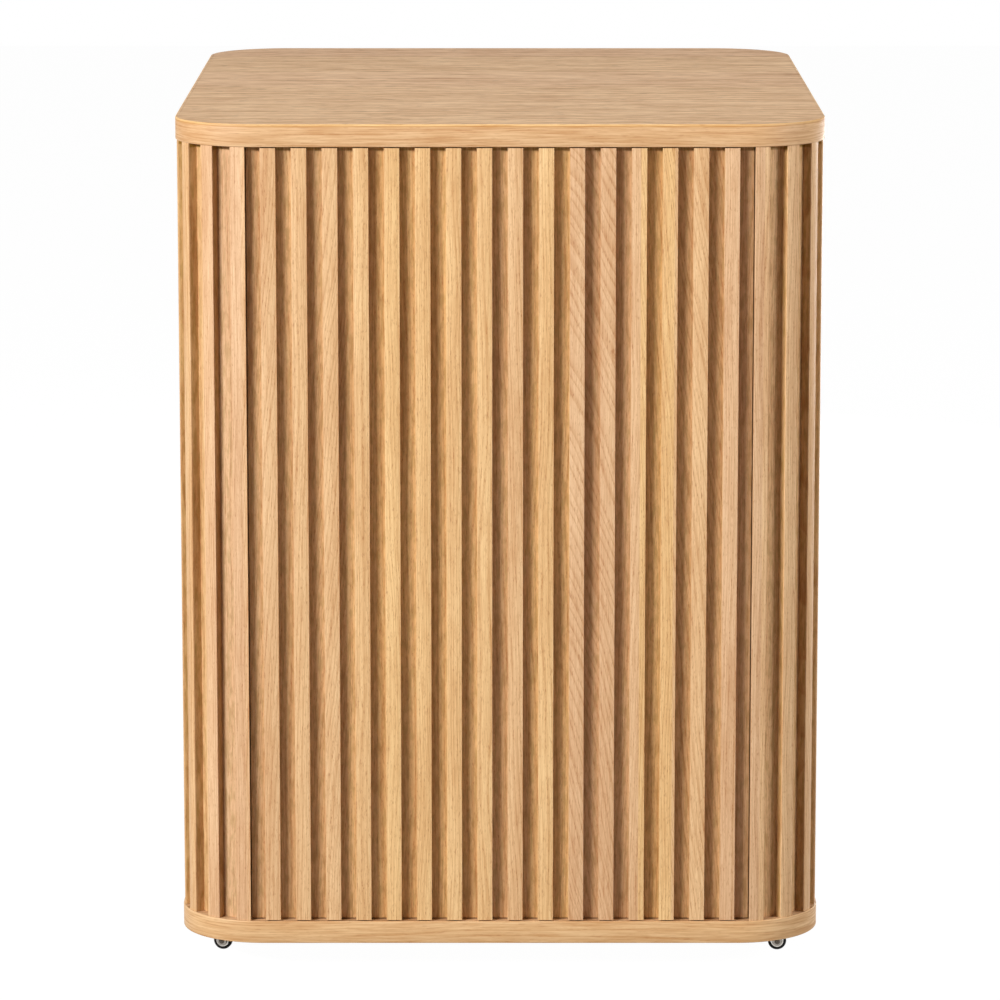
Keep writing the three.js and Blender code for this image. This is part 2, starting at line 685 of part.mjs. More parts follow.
function castorHubGeometry() {
  const bore = axleRadius + castorPlay;
  const rim = hubRimWidth / 2;
  const web = hubWebWidth / 2;
  const boss = tyreWidth / 2 + castorPlay - jointGap;
  const rimInner = hubRadius - hubRimDepth;
  return turned([
    [bore, -boss], [hubBossRadius, -boss], [hubBossRadius, -web], [rimInner, -web], [rimInner, -rim],
    [hubRadius, -rim], [hubRadius, rim], [rimInner, rim], [rimInner, web], [hubBossRadius, web],
    [hubBossRadius, boss], [bore, boss], [bore, -boss],
  ], turnedSides, Math.PI / turnedSides);
}

function castorTyre() {
  const inner = hubRadius + castorPlay;
  const half = tyreWidth / 2;
  return turned([
    [inner, -half], [wheelRadius - tyreShoulder, -half], [wheelRadius, -half + tyreShoulder],
    [wheelRadius, half - tyreShoulder], [wheelRadius - tyreShoulder, half], [inner, half], [inner, -half],
  ], wheelSides, Math.PI / wheelSides);
}

function buildCastors() {
  const wheelZ = wheelRadius * Math.cos(Math.PI / wheelSides); // the wheel rests on one flat facet
  for (const [x, y, place, trailDegrees] of castorPivots()) {
    const mount = new THREE.Group();
    mount.position.set(x, y, 0);
    root.add(mount);
    add(`castor_plate_${place}`, castorPlate(), castorSteel, mount);
    const swivel = new THREE.Group();
    swivel.rotation.z = THREE.MathUtils.degToRad(trailDegrees);
    mount.add(swivel);
    add(`castor_fork_${place}`, castorFork(wheelZ), castorSteel, swivel);
    const wheel = new THREE.Group();
    wheel.position.set(castorTrail, 0, wheelZ);
    swivel.add(wheel);
    add(`castor_axle_${place}`, castorAxle(), zinc, wheel);
    add(`castor_hub_${place}`, castorHubGeometry(), castorHub, wheel);
    add(`castor_tyre_${place}`, castorTyre(), rubber, wheel);
  }
}

buildCase();
buildRunners();
buildDrawer();
buildTray();
buildLatch();
buildCastors();

export default root;
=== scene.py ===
import math

import bmesh
import bpy
from mathutils import Matrix, Vector


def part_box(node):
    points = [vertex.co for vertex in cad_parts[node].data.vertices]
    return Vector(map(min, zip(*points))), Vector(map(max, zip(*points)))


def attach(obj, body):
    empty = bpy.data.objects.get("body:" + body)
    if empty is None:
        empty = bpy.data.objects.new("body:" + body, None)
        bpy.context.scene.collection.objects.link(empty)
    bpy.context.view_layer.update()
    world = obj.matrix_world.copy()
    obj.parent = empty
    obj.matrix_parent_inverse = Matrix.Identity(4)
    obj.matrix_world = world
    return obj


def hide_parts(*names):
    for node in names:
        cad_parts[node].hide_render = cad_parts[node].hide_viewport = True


# Rolling file cabinet in natural oak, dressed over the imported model.
# Metres, +Z up, the front faces -Y.

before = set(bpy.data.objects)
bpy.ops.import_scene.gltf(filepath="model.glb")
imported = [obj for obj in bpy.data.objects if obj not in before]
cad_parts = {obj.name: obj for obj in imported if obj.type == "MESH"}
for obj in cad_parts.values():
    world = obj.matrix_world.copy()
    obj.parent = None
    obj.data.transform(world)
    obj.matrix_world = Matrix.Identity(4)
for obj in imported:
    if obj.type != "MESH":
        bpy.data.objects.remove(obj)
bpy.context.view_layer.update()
mm = 0.001
sides = {"left": -1, "right": 1}
ends = ("front", "rear")
print("frame loaded:", len(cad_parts), "nodes")


# Modelling helpers

# The shares say how close to the z axis an edge or a normal has to point
modelling = {
    "mergeDistance": 0.01 * mm,
    "flatAngle": math.radians(0.5),
    "cornerAngle": math.radians(40),
    "smoothAngle": math.radians(32),
    "uprightShare": 0.9,
    "levelShare": 0.99,
}


def pickOnly(piece):
    bpy.ops.object.select_all(action="DESELECT")
    piece.select_set(True)
    bpy.context.view_layer.objects.active = piece


def startEdit(piece, selectMode="FACE"):
    pickOnly(piece)
    bpy.ops.object.mode_set(mode="EDIT")
    bpy.ops.mesh.select_mode(type=selectMode)


def endEdit():
    bpy.ops.object.mode_set(mode="OBJECT")


# Selects what passes the test, in edit mode: kind is "edges" or "faces"
def selectWhere(piece, kind, test):
    bpy.ops.mesh.select_mode(type={"edges": "EDGE", "faces": "FACE"}[kind])
    bpy.ops.mesh.select_all(action="DESELECT")
    mesh = bmesh.from_edit_mesh(piece.data)
    mesh.normal_update()
    for part in getattr(mesh, kind):
        if test(part):
            part.select_set(True)
    mesh.select_flush_mode()
    bmesh.update_edit_mesh(piece.data)


def block(name, low, high):
    bpy.ops.object.select_all(action="DESELECT")
    size = Vector(high) - Vector(low)
    bpy.ops.mesh.primitive_cube_add(size=1, location=(Vector(low) + Vector(high)) / 2, scale=size)
    piece = bpy.context.object
    piece.name = name
    applyPlace(piece)
    return piece


def applyPlace(piece):
    pickOnly(piece)
    bpy.ops.object.transform_apply(location=True, rotation=True, scale=True)


def applyModifier(piece, kind, **settings):
    pickOnly(piece)
    bpy.ops.object.modifier_add(type=kind)
    modifier = piece.modifiers[-1]
    for name, value in settings.items():
        setattr(modifier, name, value)
    bpy.ops.object.modifier_apply(modifier=modifier.name)


def isOutwardCorner(edge, smallest=modelling["cornerAngle"]):
    return len(edge.link_faces) == 2 and edge.is_convex and edge.calc_face_angle() > smallest


def isUpright(edge):
    run = (edge.verts[0].co - edge.verts[1].co).normalized()
    return abs(run.z) > modelling["uprightShare"]


def isLevel(face):
    return abs(face.normal.z) > modelling["levelShare"]


# Rounds the outward corners that pass the test, and leaves the inward ones crisp
def roundCorners(piece, radius, steps=2, test=isOutwardCorner):
    startEdit(piece, "EDGE")
    selectWhere(piece, "edges", test)
    bpy.ops.mesh.bevel(offset=radius, segments=steps, profile=0.5, affect="EDGES", clamp_overlap=True)
    endEdit()


def shade(piece):
    pickOnly(piece)
    bpy.ops.object.shade_smooth_by_angle(angle=modelling["smoothAngle"])


# A clean copy of a model piece: its loose triangles are merged into whole faces
def copyOf(node, name):
    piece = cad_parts[node].copy()
    piece.data = piece.data.copy()
    piece.name = name
    for key in list(piece.keys()):
        del piece[key]
    piece.parent = None
    bpy.context.scene.collection.objects.link(piece)
    startEdit(piece, "VERT")
    bpy.ops.mesh.select_all(action="SELECT")
    bpy.ops.mesh.remove_doubles(threshold=modelling["mergeDistance"])
    bpy.ops.mesh.dissolve_limited(angle_limit=modelling["flatAngle"])
    endEdit()
    return piece


# Turns a profile of (radius, height) points round the z axis
def turnedPiece(name, profile, steps):
    bpy.ops.object.select_all(action="DESELECT")
    bpy.ops.mesh.primitive_plane_add(size=mm)
    piece = bpy.context.object
    piece.name = name
    startEdit(piece, "VERT")
    bpy.ops.mesh.select_all(action="SELECT")
    bpy.ops.mesh.merge(type="CENTER")
    here = Vector((0, 0, 0))
    for number, (radius, height) in enumerate(profile):
        there = Vector((radius, 0, height))
        if number == 0:
            bpy.ops.transform.translate(value=there - here)
        else:
            bpy.ops.mesh.extrude_vertices_move(TRANSFORM_OT_translate={"value": there - here})
        here = there
    bpy.ops.mesh.select_all(action="SELECT")
    bpy.ops.mesh.spin(steps=steps, angle=2 * math.pi, center=(0, 0, 0), axis=(0, 0, 1))
    bpy.ops.mesh.select_all(action="SELECT")
    bpy.ops.mesh.remove_doubles(threshold=modelling["mergeDistance"])
    bpy.ops.mesh.normals_make_consistent(inside=False)
    endEdit()
    return piece


def placedCopy(piece, name, place):
    twin = piece.copy()
    twin.data = piece.data.copy()
    twin.name = name
    twin.data.transform(place)
    bpy.context.scene.collection.objects.link(twin)
    return twin


def joinAll(name, pieces):
    bpy.ops.object.select_all(action="DESELECT")
    for piece in pieces:
        piece.select_set(True)
    bpy.context.view_layer.objects.active = pieces[0]
    bpy.ops.object.join()
    pieces[0].name = name
    return pieces[0]


# Gives a finished piece its materials, its body and the model pieces that it stands for
def fit(piece, body, slot, materials, *nodes):
    shade(piece)
    piece.data.materials.clear()
    for material in materials:
        piece.data.materials.append(material)
    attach(piece, body)
    if nodes:
        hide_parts(*nodes)


# Wood coordinates: across the grain, into the wood, along the grain

# The case is a rounded rectangle in plan, with its slats' faces a little behind the edge band
casePlan = {
    "cornerRadius": 60 * mm,
    "slatSetback": 1 * mm,
    "grooveDepth": 7 * mm,
}
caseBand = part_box("top_edge_band")


# How far round the case a point lies from the middle of the front, and how far out from the
# floors of the grooves, as if the fluting were unrolled
def roundTheCase(point):
    radius = casePlan["cornerRadius"] - casePlan["slatSetback"] - casePlan["grooveDepth"]
    halfX = caseBand[1].x - casePlan["cornerRadius"]
    halfY = caseBand[1].y - casePlan["cornerRadius"]
    overX = abs(point.x) - halfX
    overY = abs(point.y) - halfY
    quarter = radius * math.pi / 2
    side = 1 if point.x >= 0 else -1
    if overX > 0 and overY > 0:
        turn = math.atan2(overX, overY)
        girth = halfX + radius * turn
        out = math.hypot(overX, overY) - radius
    elif overY > overX:
        girth = abs(point.x)
        out = overY - radius
    else:
        girth = halfX + quarter + halfY + point.y
        out = overX - radius
        return side * girth, out
    if point.y > 0:
        girth = 2 * (halfX + quarter + halfY) - girth
    return side * girth, out


def uprightFluted(point):
    girth, out = roundTheCase(point)
    return girth, out, point.z


def wrappedBand(point):
    girth, out = roundTheCase(point)
    return point.z, out, girth


# Plywood has an odd number of plies, so that both of its faces are long-grained
def plyDepth(depth, thickness):
    ply, rim = plyLook["plyThickness"], plyLook["rimShare"]
    plies = 2 * round((thickness / ply - 1) / 2) + 1
    return ply * (rim + (plies - 2 * rim) * depth / thickness)


# For a flat board: the axes that lie across, through and along it
def boardGrain(piece, across, through, along):
    reach = [vertex.co[through] for vertex in piece.data.vertices]
    start, thickness = min(reach), max(reach) - min(reach)
    return lambda point: (point[across], plyDepth(point[through] - start, thickness), point[along])


# For an upright frame of four walls: the plies run round it
def frameGrain(piece):
    points = [vertex.co for vertex in piece.data.vertices]
    endX = max(point.x for point in points)
    endY = max(point.y for point in points)
    startY = min(point.y for point in points)

    def depth(point):
        return min(endX - abs(point.x), endY - point.y, point.y - startY)

    wall = max(depth(point) for point in points)
    return lambda point: (point.z, plyDepth(depth(point), wall), point.x + point.y)


def writeGrain(piece, place):
    grain = piece.data.attributes.new("grain", "FLOAT_VECTOR", "POINT")
    for vertex, entry in zip(piece.data.vertices, grain.data):
        entry.vector = place(vertex.co)


# Materials

# Settings and values that many nodes share
smooth = {"interpolation_type": "SMOOTHSTEP"}
inColor = {"data_type": "RGBA"}
noiseLook = {
    "roughness": 0.6,
    "range": (0.3, 0.7),  # nearly all of a noise lies between these
}


def hexColor(text):
    channels = [int(text[at:at + 2], 16) / 255 for at in (1, 3, 5)]
    linear = [c / 12.92 if c <= 0.04045 else ((c + 0.055) / 1.055) ** 2.4 for c in channels]
    return (*linear, 1)


def newMaterial(name):
    material = bpy.data.materials.new(name)
    material.use_nodes = True
    material.node_tree.nodes.clear()
    return material


# Adds a node. Its inputs are a dictionary, or a list in the order of those in use. Each is a
# value, another node's output, or another node, which stands for its first output in use.
def addNode(material, kind, inputs=(), **settings):
    node = material.node_tree.nodes.new("ShaderNode" + kind)
    for name, value in settings.items():
        setattr(node, name, value)
    sockets = [socket for socket in node.inputs if socket.enabled]
    if isinstance(inputs, dict):
        sockets = [node.inputs[name] for name in inputs]
        inputs = inputs.values()
    for socket, value in zip(sockets, inputs):
        if isinstance(value, bpy.types.Node):
            value = next(output for output in value.outputs if output.enabled)
        if isinstance(value, bpy.types.NodeSocket):
            material.node_tree.links.new(value, socket)
        else:
            socket.default_value = value
    return node


# Wood coordinates, as the piece carries them: across, into and along the grain
def pieceGrain(material):
    return addNode(material, "Attribute", attribute_name="grain").outputs["Vector"]


# The same for marks that follow the object's own axes
def objectGrain(material, *axes):
    place = addNode(material, "SeparateXYZ", [addNode(material, "TexCoord").outputs["Object"]])
    return addNode(material, "CombineXYZ", [place.outputs[axis] for axis in axes])


# Noise drawn out along the grain: width and length are the size of one mark
def streaks(material, grain, width, length, detail, shift=0.0):
    stretched = addNode(
        material, "VectorMath", [grain, (1 / width, 1 / width, 1 / length), (shift, shift, shift)],
        operation="MULTIPLY_ADD",
    )
    return addNode(material, "TexNoise", {
        "Vector": stretched, "Scale": 1.0, "Detail": detail, "Roughness": noiseLook["roughness"],
    })


# Spreads a chance value, which runs from 0 to 1, over the reach with zero in the middle
def eitherSide(material, chance, reach):
    centred = addNode(material, "Math", [chance, 0.5], operation="SUBTRACT")
    return addNode(material, "Math", [centred, reach], operation="MULTIPLY")


# Oak. Where a mark is too fine or too squeezed by the low view to show, it is drawn coarser
# than the real one: pores are a third of a millimetre wide on a real board.
oakLook = {
    "staveWidth": 26 * mm,
    "staveJitter": 0.75,
    "heartReach": 150 * mm,
    "heartSpread": 40 * mm,
    "heartDepth": 45 * mm,
    "lean": 0.28,
    "leanShuffle": 9,
    "leanPower": 3,
    "driftWidth": 60 * mm,
    "driftLength": 260 * mm,
    "driftReach": 20 * mm,
    "ringWidth": 2.5 * mm,
    "ringSway": 2.2,  # in rings
    "swayPerRing": 0.37,
    "earlyWoodEnd": 0.42,
    "lateWoodEnd": 0.9,
    "fibreWidth": 0.8 * mm,
    "fibreLength": 20 * mm,
    "cloudWidth": 12 * mm,
    "cloudLength": 150 * mm,
    "poreWidth": 0.62 * mm,
    "poreLength": 3.6 * mm,
    "openPore": (0.56, 0.7),
    "ringShare": 0.32,
    "fibreShare": 0.4,
    "cloudShare": 0.3,
    "poreShare": 0.55,
    "poreInRingShare": 0.5,
    "roughness": 0.5,
    "roughnessSpread": 0.1,
    "fibreBumpShare": 0.3,
    "bumpStrength": 0.35,
    "bumpDepth": 0.05 * mm,
    "pale": "#FBD9AC",
    "dark": "#CB9764",
    "warmStave": "#FFF8E0",
    "roseStave": "#F2E8E6",
    "pore": "#A8642E",
}
# Painted shade in the grooves, drawn into the colour: some all over, most on their sides, in uneven
# patches, and a painted shadow of the top plate at their heads. Lengths are measured outwards from their
# floors.
flutedLook = dict(
    oakLook,
    grooveDepth=casePlan["grooveDepth"],
    underFaces=(1.2 * mm, 0.3 * mm),
    behindFloor=(-1 * mm, -0.2 * mm),
    sideFoot=(0.2 * mm, 0.8 * mm),
    # How far down from the top plate its painted shadow reaches, and how soft its edge is
    headHeight=3.2 * mm,
    headBlur=0.6 * mm,
    patchWidth=3 * mm,
    patchLength=13 * mm,
    patchRange=(0.42, 0.64),
    grooveShare=0.13,
    sideShare=0.2,
    headShare=0.5,
    patchShare=0.32,
    scorch="#A59B38",
)
# Veneer on the plates: its marks are drawn widest, because the view takes them almost edge on
veneerLook = dict(
    oakLook,
    staveWidth=115 * mm,
    heartReach=190 * mm,
    driftWidth=16 * mm,
    driftLength=70 * mm,
    driftReach=12 * mm,
    ringWidth=9 * mm,
    lean=0.05,
    cloudLength=60 * mm,
    fibreWidth=2.6 * mm,
    fibreLength=16 * mm,
    fibreShare=0.46,
    ringShare=0.42,
    poreWidth=3.4 * mm,
    poreLength=10 * mm,
    poreShare=0.72,
    poreInRingShare=0.75,
    pale="#EECBA3",
    dark="#B0845B",
    warmStave="#FFFDF6",
    roseStave="#FBF5F4",
    pore="#8A6746",
    roughness=0.46,
)
# The top veneer is laid over the edge band, and its glue line shows just under the arris
bandLook = dict(
    oakLook,
    staveWidth=160 * mm,
    heartReach=30 * mm,
    heartDepth=22 * mm,
    lean=0.05,
    ringWidth=2 * mm,
    ringShare=0.3,
    cloudWidth=6 * mm,
    cloudLength=70 * mm,
    cloudShare=0.4,
    fibreWidth=1.2 * mm,
    fibreLength=26 * mm,
    fibreShare=0.54,
    poreWidth=0.8 * mm,
    poreLength=7 * mm,
    poreShare=0.35,
    glueHeight=caseBand[1].z - 1.6 * mm,
    glueFade=(0.2 * mm, 0.6 * mm),
    glueShare=0.6,
    glue="#B87A3C",
    pale="#F6D4A6",
    dark="#D2A26D",
)


# The distance from the heart of the log gives the growth rings. Each stave has a heart and a
# lean of its own, and the rings drift to and fro along the grain.
def earlyWood(material, grain, place, chance, look):
    drift = addNode(material, "SeparateColor", [
        streaks(material, grain, look["driftWidth"], look["driftLength"], detail=1.5).outputs["Color"],
    ])
    chanceAcross = eitherSide(material, chance.outputs["Green"], look["heartReach"])
    chanceDeep = eitherSide(material, chance.outputs["Blue"], look["heartSpread"])
    driftAcross = eitherSide(material, drift.outputs["Red"], look["driftReach"])
    driftDeep = eitherSide(material, drift.outputs["Green"], look["driftReach"])
    # Spread from -1 to 1, and the power keeps most staves near upright
    lean = addNode(material, "Math", [chance.outputs["Red"], look["leanShuffle"]], operation="MULTIPLY")
    lean = addNode(material, "Math", [lean], operation="FRACT")
    lean = eitherSide(material, lean, 2)
    lean = addNode(material, "Math", [lean, look["leanPower"]], operation="POWER")
    lean = addNode(material, "Math", [lean, look["lean"]], operation="MULTIPLY")
    lean = addNode(material, "Math", [place.outputs["Z"], lean], operation="MULTIPLY")
    wander = addNode(material, "Math", [chanceAcross, driftAcross], operation="ADD")
    across = addNode(material, "Math", [place.outputs["X"], wander], operation="ADD")
    deep = addNode(material, "Math", [chanceDeep, driftDeep], operation="ADD")
    deep = addNode(material, "Math", [deep, lean], operation="ADD")
    deep = addNode(material, "Math", [deep, look["heartDepth"]], operation="ADD")
    fromHeart = addNode(
        material, "VectorMath", [addNode(material, "CombineXYZ", [across, deep])], operation="LENGTH",
    )
    rings = addNode(material, "Math", [fromHeart, look["ringWidth"]], operation="DIVIDE")
    uneven = addNode(material, "TexNoise", {
        "W": rings, "Scale": look["swayPerRing"], "Detail": 1.0,
    }, noise_dimensions="1D")
    rings = addNode(material, "Math", [uneven, look["ringSway"], rings], operation="MULTIPLY_ADD")
    ring = addNode(material, "Math", [rings], operation="FRACT")
    opening = addNode(material, "MapRange", [ring, 0, look["earlyWoodEnd"], 1, 0], **smooth)
    closing = addNode(material, "MapRange", [ring, look["lateWoodEnd"], 1, 0, 1], **smooth)
    return addNode(material, "Math", [opening, closing], operation="MAXIMUM")


# Painted shade in the grooves: some all over, most on their sides, uneven patches, and a painted shadow of
# the top plate at their heads
def paintedGrooveShade(material, grain, place, look):
    out, along = place.outputs["Y"], place.outputs["Z"]
    fadeStart, fadeEnd = (look["grooveDepth"] - under for under in look["underFaces"])
    underFaces = addNode(material, "MapRange", [out, fadeStart, fadeEnd, 1, 0], **smooth)
    beforeFloor = addNode(material, "MapRange", [out, *look["behindFloor"], 0, 1], **smooth)
    inGroove = addNode(material, "Math", [underFaces, beforeFloor], operation="MULTIPLY")
    side = addNode(material, "MapRange", [out, *look["sideFoot"], 0, 1], **smooth)
    onSide = addNode(material, "Math", [inGroove, side], operation="MULTIPLY")
    patch = streaks(material, grain, look["patchWidth"], look["patchLength"], detail=3.0, shift=9.1)
    patch = addNode(material, "MapRange", [patch, *look["patchRange"], 0, look["patchShare"]], **smooth)
    # Painted shadow of the top plate across the head of each groove
    headStart = caseBand[0].z - look["headHeight"] - look["headBlur"]
    headEnd = caseBand[0].z - look["headHeight"] + look["headBlur"]
    head = addNode(material, "MapRange", [along, headStart, headEnd, 0, look["headShare"]], **smooth)
    floor = addNode(material, "Math", [patch, look["grooveShare"]], operation="ADD")
    floor = addNode(material, "Math", [floor, head], operation="ADD")
    floor = addNode(material, "Math", [inGroove, floor], operation="MULTIPLY")
    return addNode(material, "Math", [onSide, look["sideShare"], floor], operation="MULTIPLY_ADD")


# Oak under matt lacquer: staves sawn from different places in a log, so that straight grain
# stands beside arched figure, with pale late wood, browner early wood and dark open pores.
def oakMaterial(name, look, *axes):
    material = newMaterial(name)
    grain = objectGrain(material, *axes) if axes else pieceGrain(material)
    place = addNode(material, "SeparateXYZ", [grain])
    stave = addNode(material, "TexVoronoi", {
        "W": place.outputs["X"], "Scale": 1 / look["staveWidth"], "Randomness": look["staveJitter"],
    }, voronoi_dimensions="1D")
    chance = addNode(material, "SeparateColor", [stave.outputs["Color"]])
    early = earlyWood(material, grain, place, chance, look)
    fibre = streaks(material, grain, look["fibreWidth"], look["fibreLength"], detail=3.0, shift=3.1)
    cloud = streaks(material, grain, look["cloudWidth"], look["cloudLength"], detail=2.0, shift=7.7)
    pore = streaks(material, grain, look["poreWidth"], look["poreLength"], detail=1.0, shift=5.3)
    openPore = addNode(material, "MapRange", [pore, *look["openPore"], 0, 1], **smooth)
    inRing = addNode(material, "MapRange", [early, 0, 1, 1 - look["poreInRingShare"], 1], **smooth)
    openPore = addNode(material, "Math", [openPore, inRing], operation="MULTIPLY")

    tone = addNode(material, "Math", [early, look["ringShare"]], operation="MULTIPLY")
    for mark, share in ((fibre, look["fibreShare"]), (cloud, look["cloudShare"])):
        markTone = addNode(material, "MapRange", [mark, *noiseLook["range"], 0, 1], **smooth)
        tone = addNode(material, "Math", [markTone, share, tone], operation="MULTIPLY_ADD")
    pale, dark, warm, rose, poreColor = (
        hexColor(look[color]) for color in ("pale", "dark", "warmStave", "roseStave", "pore")
    )
    color = addNode(material, "Mix", [tone, pale, dark], **inColor)
    tint = addNode(material, "Mix", [chance.outputs["Red"], warm, rose], **inColor)
    color = addNode(material, "Mix", [1.0, color, tint], blend_type="MULTIPLY", **inColor)
    # Painted shade in the grooves, multiplied into the colour
    if "scorch" in look:
        grooveShade = paintedGrooveShade(material, grain, place, look)
        scorch = hexColor(look["scorch"])
        color = addNode(material, "Mix", [grooveShade, color, scorch], blend_type="MULTIPLY", **inColor)
    poreTone = addNode(material, "Math", [openPore, look["poreShare"]], operation="MULTIPLY")
    color = addNode(material, "Mix", [poreTone, color, poreColor], **inColor)
    if "glue" in look:
        away = addNode(material, "Math", [place.outputs["X"], look["glueHeight"]], operation="SUBTRACT")
        away = addNode(material, "Math", [away], operation="ABSOLUTE")
        line = addNode(material, "MapRange", [away, *look["glueFade"], look["glueShare"], 0], **smooth)
        color = addNode(material, "Mix", [line, color, hexColor(look["glue"])], **inColor)

    height = addNode(material, "Math", [fibre, look["fibreBumpShare"]], operation="MULTIPLY")
    height = addNode(material, "Math", [openPore, -1, height], operation="MULTIPLY_ADD")
    bump = addNode(material, "Bump", {
        "Height": height, "Strength": look["bumpStrength"], "Distance": look["bumpDepth"],
    })
    sheen = (look["roughness"], look["roughness"] + look["roughnessSpread"])
    shader = addNode(material, "BsdfPrincipled", {
        "Base Color": color,
        "Roughness": addNode(material, "MapRange", [tone, 0, 1, *sheen], **smooth),
        "Normal": bump,
    })
    addNode(material, "OutputMaterial", {"Surface": shader})
    return material


# Birch plywood under clear lacquer: pale, nearly plain faces, and edges striped by the plies
plyLook = {
    "plyThickness": 1.4 * mm,
    "rimShare": 0.05,  # of a ply: the faces lie this far inside it, so that no stripe shows
    "fibreWidth": 1.1 * mm,
    "fibreLength": 40 * mm,
    "fibreShare": 0.5,
    "cloudWidth": 36 * mm,
    "cloudLength": 420 * mm,
    "cloudShare": 0.3,
    "pale": "#E9D3AC",
    "dark": "#D3B384",
    "crossPly": "#B08556",
    "roughness": 0.48,
    "roughnessSpread": 0.12,
    "bumpStrength": 0.15,
    "bumpDepth": 0.05 * mm,
}


def plyMaterial(name, look):
    material = newMaterial(name)
    grain = pieceGrain(material)
    place = addNode(material, "SeparateXYZ", [grain])
    ply = addNode(material, "Math", [place.outputs["Y"], look["plyThickness"]], operation="DIVIDE")
    ply = addNode(material, "Math", [ply], operation="FLOOR")
    crossPly = addNode(material, "Math", [ply, 2], operation="FLOORED_MODULO")
    fibre = streaks(material, grain, look["fibreWidth"], look["fibreLength"], detail=3.0)
    cloud = streaks(material, grain, look["cloudWidth"], look["cloudLength"], detail=2.0, shift=4.0)
    fibreTone = addNode(material, "MapRange", [fibre, *noiseLook["range"], 0, 1], **smooth)
    cloudTone = addNode(material, "MapRange", [cloud, *noiseLook["range"], 0, 1], **smooth)
    tone = addNode(material, "Math", [fibreTone, look["fibreShare"]], operation="MULTIPLY")
    tone = addNode(material, "Math", [cloudTone, look["cloudShare"], tone], operation="MULTIPLY_ADD")
    color = addNode(material, "Mix", [tone, hexColor(look["pale"]), hexColor(look["dark"])], **inColor)
    color = addNode(material, "Mix", [crossPly, color, hexColor(look["crossPly"])], **inColor)
    bump = addNode(material, "Bump", {
        "Height": fibre, "Strength": look["bumpStrength"], "Distance": look["bumpDepth"],
    })
    sheen = (look["roughness"], look["roughness"] + look["roughnessSpread"])
    shader = addNode(material, "BsdfPrincipled", {
        "Base Color": color,
        "Roughness": addNode(material, "MapRange", [tone, 0, 1, *sheen], **smooth),
        "Normal": bump,
    })
    addNode(material, "OutputMaterial", {"Surface": shader})
    return material


# A metal with a worked surface: marks are as wide and long as the process leaves them
metalLook = {"bumpStrength": 0.3}


def metalMaterial(name, pale, dark, markWidth, markLength, roughness, spread, bumpDepth):
    material = newMaterial(name)
    grain = objectGrain(material, "X", "Z", "Y")
    marks = streaks(material, grain, markWidth, markLength, detail=3.0)
    tone = addNode(material, "MapRange", [marks, *noiseLook["range"], 0, 1], **smooth)
    sheen = (roughness, roughness + spread)
    bump = addNode(material, "Bump", {
        "Height": marks, "Strength": metalLook["bumpStrength"], "Distance": bumpDepth,
    })
    shader = addNode(material, "BsdfPrincipled", {
        "Base Color": addNode(material, "Mix", [tone, hexColor(pale), hexColor(dark)], **inColor),
        "Metallic": 1.0,
        "Roughness": addNode(material, "MapRange", [marks, *noiseLook["range"], *sheen], **smooth),
        "Normal": bump,
    })
    addNode(material, "OutputMaterial", {"Surface": shader})
    return material


# A moulded surface: fine spark-eroded grain, slightly uneven in gloss
mouldedLook = {
    "cloudSize": 12 * mm,
    "glossSpread": 0.06,
    "bumpStrength": 0.4,
    "bumpDepth": 0.03 * mm,
}


def mouldedMaterial(name, pale, dark, grainSize, roughness, ior):
    look = mouldedLook
    material = newMaterial(name)
    place = addNode(material, "TexCoord").outputs["Object"]
    speck = streaks(material, place, grainSize, grainSize, detail=2.0)
    cloud = streaks(material, place, look["cloudSize"], look["cloudSize"], detail=2.0, shift=2.0)
    tone = addNode(material, "MapRange", [cloud, *noiseLook["range"], 0, 1], **smooth)
    sheen = (roughness - look["glossSpread"], roughness + look["glossSpread"])
    bump = addNode(material, "Bump", {
        "Height": speck, "Strength": look["bumpStrength"], "Distance": look["bumpDepth"],
    })
    shader = addNode(material, "BsdfPrincipled", {
        "Base Color": addNode(material, "Mix", [tone, hexColor(pale), hexColor(dark)], **inColor),
        "Roughness": addNode(material, "MapRange", [speck, *noiseLook["range"], *sheen], **smooth),
        "IOR": ior,
        "Normal": bump,
    })
    addNode(material, "OutputMaterial", {"Surface": shader})
    return material


flutedOak = oakMaterial("flutedOak", flutedLook)
edgeOak = oakMaterial("oakEdgeBand", bandLook)
# The plates' veneer runs from side to side
veneer = oakMaterial("oakVeneer", veneerLook, "Y", "Z", "X")
birchPly = plyMaterial("birchPlywood", plyLook)
# Bright zinc plate on rolled steel: cool, cloudy sheen
zincSteel = metalMaterial(
    "zincPlatedSteel", pale="#C9CCCE", dark="#A9ADB1", markWidth=6 * mm, markLength=18 * mm,
    roughness=0.3, spread=0.14, bumpDepth=0.01 * mm,
)
# Anodised aluminium extrusion: fine die lines along its length
aluminium = metalMaterial(
    "anodisedAluminium", pale="#D5D6D6", dark="#BFC1C2", markWidth=0.35 * mm, markLength=160 * mm,
    roughness=0.3, spread=0.1, bumpDepth=0.01 * mm,
)
# Satin nickel over pressed steel: warm grey and soft
satinNickel = metalMaterial(
    "satinNickelSteel", pale="#A39C94", dark="#958E86", markWidth=0.5 * mm, markLength=6 * mm,
    roughness=0.36, spread=0.12, bumpDepth=0.01 * mm,
)
# Darker nickel in the dish of the castor hub and on the axle heads: a dark, warm disc inside the bright
# rim, which also paints the shade that falls in the recessed dish
dishShadeNickel = metalMaterial(
    "dullNickelSteel", pale="#665E55", dark="#554D45", markWidth=1 * mm, markLength=1 * mm,
    roughness=0.46, spread=0.1, bumpDepth=0.01 * mm,
)
# Polished steel: bright rim that mirrors the room
polishedSteel = metalMaterial(
    "polishedSteel", pale="#DAD5CD", dark="#C7C1B8", markWidth=1 * mm, markLength=1 * mm,
    roughness=0.14, spread=0.08, bumpDepth=0.004 * mm,
)
# Vulcanised rubber: near black, dull, faintly dusty
rubber = mouldedMaterial(
    "tyreRubber", pale="#0E0C0B", dark="#151210", grainSize=0.5 * mm, roughness=0.85, ior=1.35,
)
